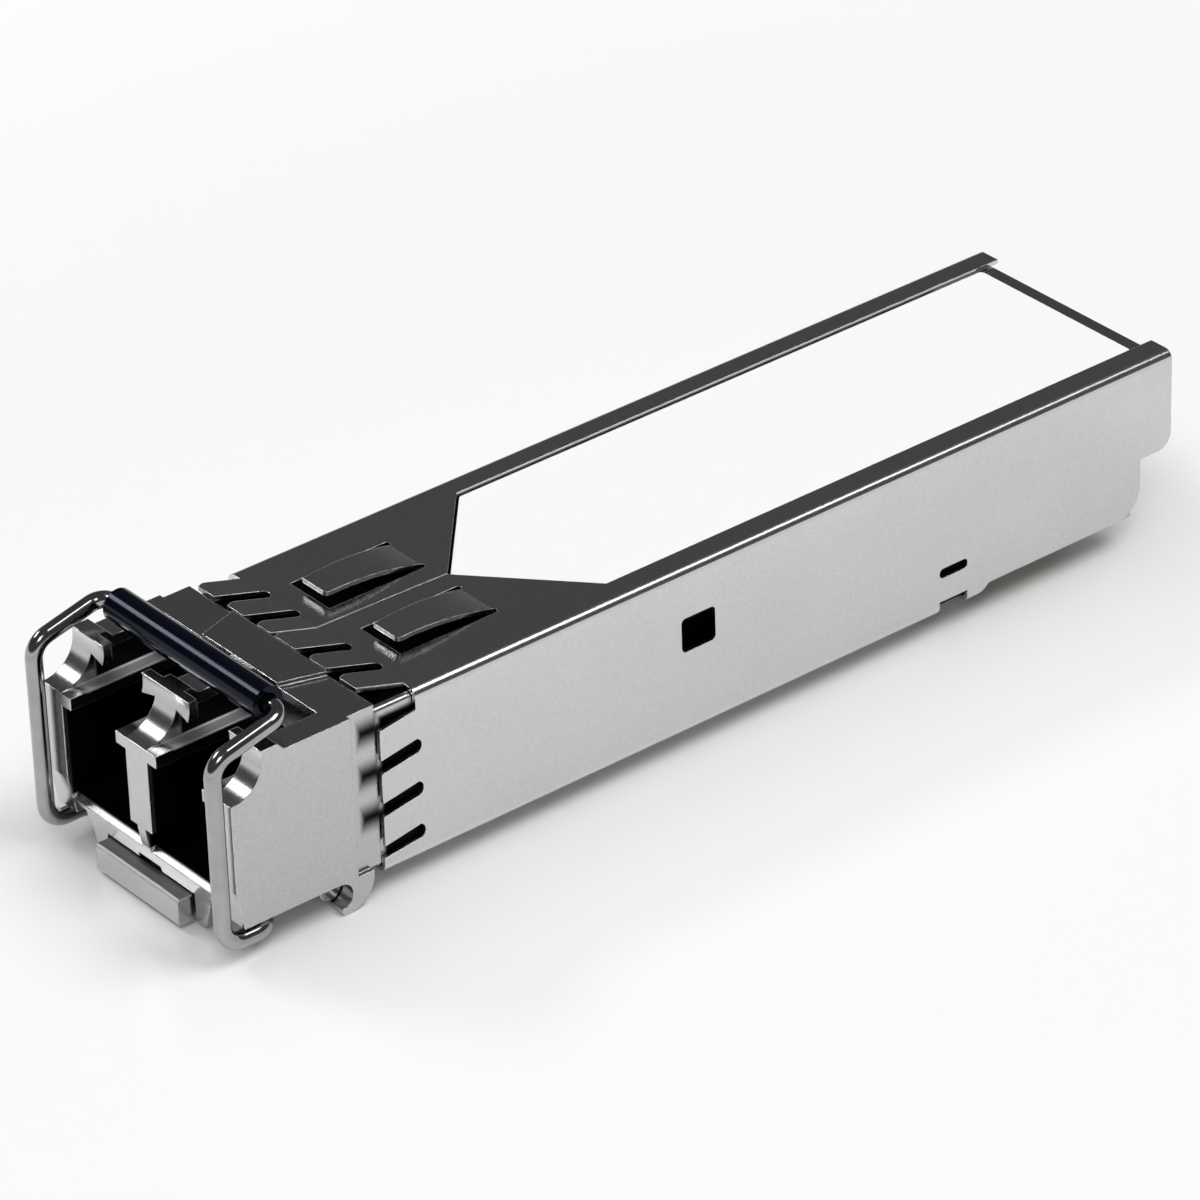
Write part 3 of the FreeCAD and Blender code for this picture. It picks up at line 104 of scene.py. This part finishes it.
def plated_casting(name, painted_shade_rooms=(), milled_ledges_with_highlight=()):
    """Satin nickel over die-cast zinc: pale and finely grained, and bright along its worn edges, with a
    painted highlight there.

    The rooms are painted dark and dull as shade, and a milled ledge is streaked
    and painted nearly white as a highlight.
    """
    # The real grain and mill marks are finer, and are drawn this coarse so that they show.
    grain_mm, grain_depth_mm = 0.1, 0.003
    streak_mm, streak_length_mm = 0.06, 1.5
    rub_and_glint_mm = 0.07
    material = new_material(name)
    place = add(material, "ShaderNodeTexCoord").outputs["Object"]
    grain = add(material, "ShaderNodeTexNoise", {
        "Vector": place, "Scale": 1 / (grain_mm * MM), "Detail": 3.0})
    wear_and_glint, rounded = rubbed_edges_and_glint(material, place, rub_and_glint_mm)
    tone = add(material, "ShaderNodeMix", {
        "Factor": grain.outputs["Fac"], "A": linear("#acacac"), "B": linear("#d0d0d0")}, data_type="RGBA")
    # Edges turn near white: wear, and a painted highlight along them.
    rubbed_and_glinting = add(material, "ShaderNodeMix", {
        "Factor": wear_and_glint, "A": tone.outputs["Result"], "B": linear("#efefef")}, data_type="RGBA")
    colour = rubbed_and_glinting.outputs["Result"]
    satin = add(material, "ShaderNodeMapRange", {
        "Value": grain.outputs["Fac"], **NOISE_SPAN, "To Min": 0.18, "To Max": 0.26})
    gloss = satin.outputs[0]
    # Painted shade: each room turns near black and dull.
    for room in painted_shade_rooms:
        painted_shade_mask = inside(material, place, *room)
        painted_shade = add(material, "ShaderNodeMix", {"Factor": painted_shade_mask, "A": colour, "B": linear("#0b0b0c")},
                   data_type="RGBA")
        colour = painted_shade.outputs["Result"]
        dull = add(material, "ShaderNodeMapRange", {"Value": painted_shade_mask, "To Min": gloss, "To Max": 0.6})
        gloss = dull.outputs[0]
    # Each ledge gets streaks like milling marks and is painted nearly white, a painted highlight on its
    # top.
    for ledge in milled_ledges_with_highlight:
        cut = inside(material, place, *ledge)
        along = add(material, "ShaderNodeMapping", {"Vector": place, "Scale": (
            1 / (streak_mm * MM), 1 / (streak_length_mm * MM), 1 / (streak_mm * MM))})
        streaks = add(material, "ShaderNodeTexNoise", {
            "Vector": along.outputs[0], "Scale": 1.0, "Detail": 3.0})
        bright = add(material, "ShaderNodeMix", {
            "Factor": streaks.outputs["Fac"], "A": linear("#d0d0d0"), "B": linear("#ffffff")},
            data_type="RGBA")
        milled = add(material, "ShaderNodeMix", {"Factor": cut, "A": colour, "B": bright.outputs["Result"]},
                     data_type="RGBA")
        colour = milled.outputs["Result"]
        matt = add(material, "ShaderNodeMapRange", {"Value": cut, "To Min": gloss, "To Max": 0.62})
        gloss = matt.outputs[0]
    relief = add(material, "ShaderNodeBump", {
        "Height": grain.outputs["Fac"], "Distance": grain_depth_mm * MM, "Strength": 0.4,
        "Normal": rounded})
    surface = add(material, "ShaderNodeBsdfPrincipled", {
        "Base Color": colour, "Metallic": 1.0, "Roughness": gloss, "Normal": relief.outputs[0]})
    add(material, "ShaderNodeOutputMaterial", {"Surface": surface.outputs[0]})
    return material


# Each room is its low corner, its high corner and how far its finish fades in, in millimetres.
# The ports, the latch rooms, the room under the sleeve and the neck by the slot ends are painted dark as
# shade.
PORTS = ((-5.6, -26.77, 2.62), (5.6, -16.0, 7.42), (0.05, 0.3, 0.1))
LATCH_ROOMS = ((-5.6, -24.95, 8.0), (5.6, -18.6, 9.2), (0.05, 0.2, 0.05))
SLEEVE_SIDES = ((-7.0, -18.7, 0.9), (7.0, 24.0, 9.05), (0.1, 0.3, 0.35))
SLEEVE_TOP = ((-6.2, -18.7, 8.9), (6.2, 24.0, 9.45), (0.15, 0.3, 0.1))
# Painted shade on the neck in front of the ends of the sleeve's slots.
SLOT_LEVELS = (4.2, 6.35, 8.5)
SLOT_SPREAD = 0.98
SLOT_ENDS = [((-7.0, -20.0, level - SLOT_SPREAD), (7.0, -18.5, level + SLOT_SPREAD), (0.1, 0.4, 1.0))
             for level in SLOT_LEVELS]
# The ledges' tops: milled streaks, painted nearly white as a highlight.
LEDGES = ((-5.6, -26.0, 7.85), (5.6, -19.0, 8.0), (0.05, 0.4, 0.04))
dress("die_cast_housing", plated_casting(
    "nickel_plated_zinc_casting", [PORTS, LATCH_ROOMS, SLEEVE_SIDES, SLEEVE_TOP, *SLOT_ENDS], [LEDGES]))

# Optics: two moulded amber barrels whose nozzles take the fibre ferrules, each with a gilt
# metal can behind it. Their leads are soldered to a polyimide ribbon, and a stamped comb
# pushed into the barrels' grooves holds both in the casting.


def plain_finish(name, colour, spread, spot_mm, roughness, metallic=0.0, **sockets):
    """A finish whose tone and gloss drift a little over the surface, in spots of a given size."""
    gloss_drift = 0.2
    material = new_material(name)
    place = add(material, "ShaderNodeTexCoord").outputs["Object"]
    drift = add(material, "ShaderNodeTexNoise", {
        "Vector": place, "Scale": 1 / (spot_mm * MM), "Detail": 3.0})
    tone = add(material, "ShaderNodeMix", {
        "Factor": drift.outputs["Fac"], "A": linear(colour), "B": linear(spread)}, data_type="RGBA")
    gloss = add(material, "ShaderNodeMapRange", {
        "Value": drift.outputs["Fac"], **NOISE_SPAN,
        "To Min": roughness * (1 - gloss_drift), "To Max": roughness * (1 + gloss_drift)})
    surface = add(material, "ShaderNodeBsdfPrincipled", {
        "Base Color": tone.outputs["Result"], "Metallic": metallic, "Roughness": gloss.outputs[0],
        **sockets})
    add(material, "ShaderNodeOutputMaterial", {"Surface": surface.outputs[0]})
    return material


# Moulded polyetherimide is an amber with a soft gloss. It is painted deep brown as shade,
# for the barrels sit deep in the casting.
amber = plain_finish("amber_polyetherimide", "#3a2110", "#4a2b16", spot_mm=0.8, roughness=0.22, IOR=1.66)
# Gold plate on kovar is a warm mirror with a little haze.
gilt = plain_finish("gilt_kovar", "#cda560", "#dcb878", spot_mm=0.5, roughness=0.22, metallic=1.0)
# Cast polyimide film is orange-brown and smooth.
ribbon = plain_finish("polyimide_film", "#8a4f14", "#99601f", spot_mm=0.6, roughness=0.25, IOR=1.7)
# Rolled spring steel is a plain grey satin.
strip = plain_finish("rolled_spring_steel", "#a9a8a5", "#bcbbb8", spot_mm=0.7, roughness=0.3, metallic=1.0)
for side, can in (("transmit", "laser"), ("receive", "detector")):
    dress(side + "_barrel", amber)
    dress(side + "_flex", ribbon)
    dress(can + "_can", gilt)
    dress(can + "_leads", gilt)
dress("optics_retainer", strip)
dress("latch_spring", strip)

# Circuit board: glass-epoxy laminate under green solder mask, with hard-gold edge contacts
# at the open rear end. The chips are black moulded epoxy, and the small two-ended parts
# are fired ceramic, all soldered flat to its top.

# Cured solder mask is a deep green that shines softly.
dress("circuit_board", plain_finish(
    "solder_mask_on_laminate", "#0d4a2a", "#14592f", spot_mm=0.9, roughness=0.35))
# Hard gold plate is yellow and bright.
dress("edge_contacts", plain_finish(
    "hard_gold_plate", "#d8ae5a", "#e6c277", spot_mm=0.4, roughness=0.2, metallic=1.0))
# Moulded epoxy is black and dull from its filler.
epoxy = plain_finish("moulded_chip_epoxy", "#17171a", "#222225", spot_mm=0.25, roughness=0.55)
for chip in ("laser_driver_chip", "receiver_amplifier_chip", "controller_chip", "memory_chip"):
    dress(chip, epoxy)
# A drawn steel lid is a warm grey satin.
dress("crystal", plain_finish(
    "drawn_steel_lid", "#b9b5a8", "#cbc7ba", spot_mm=0.5, roughness=0.3, metallic=1.0))
# Fired titanate is tan, glazed alumina is black and shiny, and sintered ferrite is dull grey.
dress("capacitors", plain_finish(
    "barium_titanate_ceramic", "#8d6b48", "#9c7a56", spot_mm=0.2, roughness=0.45))
dress("resistors", plain_finish(
    "glazed_resistor_ceramic", "#16181c", "#20232a", spot_mm=0.2, roughness=0.3))
dress("inductors", plain_finish(
    "sintered_ferrite", "#2c2c30", "#3a3a3f", spot_mm=0.2, roughness=0.6))

# Sleeve: one sheet of nickel-silver folded into a tube round the casting, its front edge
# split into sprung grounding fingers. Rolling leaves a smooth satin with a faint grain
# along its length, and shearing leaves every cut edge torn and bright, with a painted highlight along it.


def rolled_sheet(name):
    """Cold-rolled sheet: a close satin a little drawn out along Y, with bright cut edges that carry a
    painted highlight.
    """
    # Real rolling lines are finer, and are drawn this coarse so that they show.
    line_mm, line_length_mm, line_depth_mm = 0.09, 0.16, 0.0012
    cloud_mm = 6.0
    shear_and_glint_mm = 0.06
    material = new_material(name)
    place = add(material, "ShaderNodeTexCoord").outputs["Object"]
    along = add(material, "ShaderNodeMapping", {"Vector": place, "Scale": (
        1 / (line_mm * MM), 1 / (line_length_mm * MM), 1 / (line_mm * MM))})
    lines = add(material, "ShaderNodeTexNoise", {"Vector": along.outputs[0], "Scale": 1.0, "Detail": 4.0})
    clouds = add(material, "ShaderNodeTexNoise", {
        "Vector": place, "Scale": 1 / (cloud_mm * MM), "Detail": 3.0})
    wear_and_glint, rounded = rubbed_edges_and_glint(material, place, shear_and_glint_mm)
    tone = add(material, "ShaderNodeMix", {
        "Factor": clouds.outputs["Fac"], "A": linear("#d6d6d6"), "B": linear("#e0e0e0")}, data_type="RGBA")
    drawn = add(material, "ShaderNodeMix", {
        "Factor": lines.outputs["Fac"], "A": linear("#e0e0e0"), "B": linear("#ffffff")}, data_type="RGBA")
    grained = add(material, "ShaderNodeMix", {
        "Factor": 1.0, "A": tone.outputs["Result"], "B": drawn.outputs["Result"]},
        data_type="RGBA", blend_type="MULTIPLY")
    # Cut edges turn near white: wear, and a painted highlight along them.
    sheared_and_glinting = add(material, "ShaderNodeMix", {
        "Factor": wear_and_glint, "A": grained.outputs["Result"], "B": linear("#f0f0f0")}, data_type="RGBA")
    satin = add(material, "ShaderNodeMapRange", {
        "Value": lines.outputs["Fac"], **NOISE_SPAN, "To Min": 0.17, "To Max": 0.22})
    torn = add(material, "ShaderNodeMapRange", {
        "Value": wear_and_glint, "To Min": satin.outputs[0], "To Max": 0.42})
    relief = add(material, "ShaderNodeBump", {
        "Height": lines.outputs["Fac"], "Distance": line_depth_mm * MM, "Strength": 0.3,
        "Normal": rounded})
    surface = add(material, "ShaderNodeBsdfPrincipled", {
        "Base Color": sheared_and_glinting.outputs["Result"], "Metallic": 1.0, "Roughness": torn.outputs[0],
        "Normal": relief.outputs[0]})
    add(material, "ShaderNodeOutputMaterial", {"Surface": surface.outputs[0]})
    return material


dress("sheet_metal_sleeve", rolled_sheet("rolled_nickel_silver"))

# Label: a bare white polyester film stuck to the casting's roof, cut to the arrow-fronted
# opening of the sleeve. It is matt, with the faint tooth of a print coating.


def coated_film(name):
    """Matt white print film: an even white with a fine tooth."""
    # A real coating's tooth is finer, and is drawn this coarse so that it shows.
    tooth_mm, tooth_depth_mm = 0.1, 0.002
    material = new_material(name)
    place = add(material, "ShaderNodeTexCoord").outputs["Object"]
    tooth = add(material, "ShaderNodeTexNoise", {
        "Vector": place, "Scale": 1 / (tooth_mm * MM), "Detail": 2.0})
    tone = add(material, "ShaderNodeMix", {
        "Factor": tooth.outputs["Fac"], "A": linear("#f4f4f4"), "B": linear("#fafafa")}, data_type="RGBA")
    relief = add(material, "ShaderNodeBump", {
        "Height": tooth.outputs["Fac"], "Distance": tooth_depth_mm * MM, "Strength": 0.3})
    surface = add(material, "ShaderNodeBsdfPrincipled", {
        "Base Color": tone.outputs["Result"], "Roughness": 0.6, "Normal": relief.outputs[0]})
    add(material, "ShaderNodeOutputMaterial", {"Surface": surface.outputs[0]})
    return material


dress("roof_label", coated_film("white_polyester_film"))

# Latch lever: a plated casting that rocks on its trunnions under the nose, with the tab at
# its front. It comes out of the same plating barrel as the housing, and its tab's top is milled, with a
# painted highlight.
TAB_TOP = ((-6.0, -28.0, 1.45), (6.0, -24.0, 1.592), (0.05, 0.3, 0.05))
dress("latch_lever", plated_casting("nickel_plated_lever_casting", [], [TAB_TOP]))

# Bail: hard steel wire bent into a loop round the nose and plated with bright nickel. The
# drawn wire is smooth, so it mirrors the room in long thin lines.


def bright_wire(name):
    """Bright nickel on drawn wire: nearly a mirror, with a breath of haze in patches."""
    haze_mm = 0.9
    material = new_material(name)
    place = add(material, "ShaderNodeTexCoord").outputs["Object"]
    haze = add(material, "ShaderNodeTexNoise", {
        "Vector": place, "Scale": 1 / (haze_mm * MM), "Detail": 3.0})
    tone = add(material, "ShaderNodeMix", {
        "Factor": haze.outputs["Fac"], "A": linear("#9a9999"), "B": linear("#b2b1b1")}, data_type="RGBA")
    gloss = add(material, "ShaderNodeMapRange", {
        "Value": haze.outputs["Fac"], **NOISE_SPAN, "To Min": 0.10, "To Max": 0.16})
    surface = add(material, "ShaderNodeBsdfPrincipled", {
        "Base Color": tone.outputs["Result"], "Metallic": 1.0, "Roughness": gloss.outputs[0]})
    add(material, "ShaderNodeOutputMaterial", {"Surface": surface.outputs[0]})
    return material


dress("bail_wire", bright_wire("bright_nickel_on_steel_wire"))

# Grip: a length of blue-black extruded tube, loose on the bail's top bar. It is smooth and
# slightly waxy, with faint die lines along its length.


def extruded_tube(name):
    """Blue-black extruded polymer: deep colour under a soft gloss."""
    # Real die lines are finer, and are drawn this coarse so that they show.
    line_mm, line_length_mm = 0.08, 4.0
    material = new_material(name)
    place = add(material, "ShaderNodeTexCoord").outputs["Object"]
    drawn = add(material, "ShaderNodeMapping", {"Vector": place, "Scale": (
        1 / (line_length_mm * MM), 1 / (line_mm * MM), 1 / (line_mm * MM))})
    lines = add(material, "ShaderNodeTexNoise", {"Vector": drawn.outputs[0], "Scale": 1.0, "Detail": 2.0})
    tone = add(material, "ShaderNodeMix", {
        "Factor": lines.outputs["Fac"], "A": linear("#03050c"), "B": linear("#060a16")}, data_type="RGBA")
    gloss = add(material, "ShaderNodeMapRange", {
        "Value": lines.outputs["Fac"], **NOISE_SPAN, "To Min": 0.10, "To Max": 0.15})
    surface = add(material, "ShaderNodeBsdfPrincipled", {
        "Base Color": tone.outputs["Result"], "Roughness": gloss.outputs[0], "IOR": 1.5,
        "Specular IOR Level": 0.2, "Specular Tint": linear("#b0c8e8")})
    add(material, "ShaderNodeOutputMaterial", {"Surface": surface.outputs[0]})
    return material


dress("bail_grip", extruded_tube("blue_black_extruded_tube"))

# Studio: a white acrylic floor under an overhead silk and three softboxes, in a room that is white
# along its horizon and dark above, so that upright metal is pale and level metal is dark. The
# floor takes the shadow by the part and runs out to plain white away from it.
FLOOR_SIDE = 6.0
# The floor turns white between these two distances, counted in shadow reaches.
SHADOW_REACH = (0.04, 0.06, 1.0)
FADE_START, FADE_END = 0.8, 2.4
GLOW_BY_PART = 0.05
half = FLOOR_SIDE / 2
floor_mesh = bpy.data.meshes.new("floor")
floor_mesh.from_pydata(
    [(-half, -half, 0), (half, -half, 0), (half, half, 0), (-half, half, 0)], [], [(0, 1, 2, 3)])
floor = bpy.data.objects.new("floor", floor_mesh)
bpy.context.scene.collection.objects.link(floor)
# Acrylic sheet is a clean white with a soft sheen.
acrylic = new_material("white_acrylic_sheet")
sheet = add(acrylic, "ShaderNodeBsdfPrincipled", {
    "Base Color": linear("#fcfcfc"), "Roughness": 0.25, "IOR": 1.49})
glow = add(acrylic, "ShaderNodeEmission", {"Color": linear("#ffffff"), "Strength": 1.0})
ray = add(acrylic, "ShaderNodeLightPath")
seen = add(acrylic, "ShaderNodeMath", {0: ray.outputs["Is Camera Ray"], 1: ray.outputs["Is Glossy Ray"]},
           operation="ADD")
shown = add(acrylic, "ShaderNodeMath", {0: seen.outputs[0], 1: ray.outputs["Is Transmission Ray"]},
            operation="ADD", use_clamp=True)
spot = add(acrylic, "ShaderNodeTexCoord").outputs["Object"]
paces = add(acrylic, "ShaderNodeVectorMath", {0: spot, 1: SHADOW_REACH}, operation="DIVIDE")
away = add(acrylic, "ShaderNodeVectorMath", {0: paces.outputs[0]}, operation="LENGTH")
fade = add(acrylic, "ShaderNodeMapRange", {
    "Value": away.outputs["Value"], "From Min": FADE_START, "From Max": FADE_END,
    "To Min": GLOW_BY_PART, "To Max": 1.0}, interpolation_type="SMOOTHSTEP")
share = add(acrylic, "ShaderNodeMath", {0: shown.outputs[0], 1: fade.outputs[0]}, operation="MULTIPLY")
lit = add(acrylic, "ShaderNodeMixShader", {0: share.outputs[0], 1: sheet.outputs[0], 2: glow.outputs[0]})
add(acrylic, "ShaderNodeOutputMaterial", {"Surface": lit.outputs[0]})
floor_mesh.materials.append(acrylic)

# How far up a direction points, from 0 level to 1 upright, where the room stops being white and is dark.
HORIZON, DARK_FROM = 0.03, 0.13
DARK = 0.08
world = bpy.data.worlds.new("studio")
bpy.context.scene.world = world
world.use_nodes = True
world.node_tree.nodes.clear()
direction = add(world, "ShaderNodeTexCoord").outputs["Generated"]
height = add(world, "ShaderNodeSeparateXYZ", {"Vector": direction}).outputs["Z"]
room = add(world, "ShaderNodeValToRGB", {"Fac": height})
room.color_ramp.elements[0].position = HORIZON
room.color_ramp.elements[0].color = (1.0, 1.0, 1.0, 1.0)
room.color_ramp.elements[1].position = DARK_FROM
room.color_ramp.elements[1].color = (DARK, DARK, DARK, 1.0)
sky = add(world, "ShaderNodeBackground", {"Color": room.outputs["Color"], "Strength": 1.0})
add(world, "ShaderNodeOutputWorld", {"Surface": sky.outputs[0]})

LAMP_AIM = Vector((0.0, 0.0, 0.004))


def softbox(name, place, size, power, mirrored=True):
    """A rectangular lamp turned towards the part. One that isn't mirrored is flagged off from the metal."""
    lamp = bpy.data.lights.new(name, "AREA")
    lamp.shape = "RECTANGLE"
    lamp.size, lamp.size_y = size
    lamp.energy = power
    box = bpy.data.objects.new(name, lamp)
    box.location = place
    box.rotation_euler = (LAMP_AIM - Vector(place)).to_track_quat("-Z", "Y").to_euler()
    box.visible_glossy = mirrored
    bpy.context.scene.collection.objects.link(box)


softbox("overhead_silk", place=(0.0, 0.0, 1.2), size=(2.0, 2.0), power=12.8, mirrored=False)
softbox("rear_right_bank", place=(0.42, 0.42, 1.12), size=(0.6, 0.6), power=5.25)
softbox("front_right_fill", place=(0.6, -0.54, 0.89), size=(0.4, 0.4), power=2.05)
softbox("front_left_key", place=(-0.634, -0.28, 0.574), size=(0.3, 0.14), power=1.5)

# Camera: a long lens from the front right, looking down on the module with a slight roll.
# The module's middle lies a little off the middle of the picture.
AZIMUTH, ELEVATION, ROLL = math.radians(51.66), math.radians(31.17), math.radians(-1.875)
DISTANCE = 0.3092
AIM = Vector((0.0, -0.00026, 0.00505))
AIM_OFFSET = (0.000681, 0.00055)
SENSOR_MM, LENS_MM = 36.0, 205.84
NEAR_CLIP = 0.01
back = Vector((math.sin(AZIMUTH) * math.cos(ELEVATION), -math.cos(AZIMUTH) * math.cos(ELEVATION),
               math.sin(ELEVATION)))
level = Vector((0, 0, 1)).cross(back).normalized()
upright = back.cross(level)
right = level * math.cos(ROLL) + upright * math.sin(ROLL)
up = upright * math.cos(ROLL) - level * math.sin(ROLL)
lens = bpy.data.cameras.new("camera")
lens.sensor_width = SENSOR_MM
lens.lens = LENS_MM
lens.clip_start = NEAR_CLIP
camera = bpy.data.objects.new("camera", lens)
turn = Matrix((right, up, back)).transposed().to_4x4()
stand = AIM - right * AIM_OFFSET[0] - up * AIM_OFFSET[1] + back * DISTANCE
camera.matrix_world = Matrix.Translation(stand) @ turn
bpy.context.scene.collection.objects.link(camera)
bpy.context.scene.camera = camera
bpy.context.scene.view_settings.view_transform = "Standard"
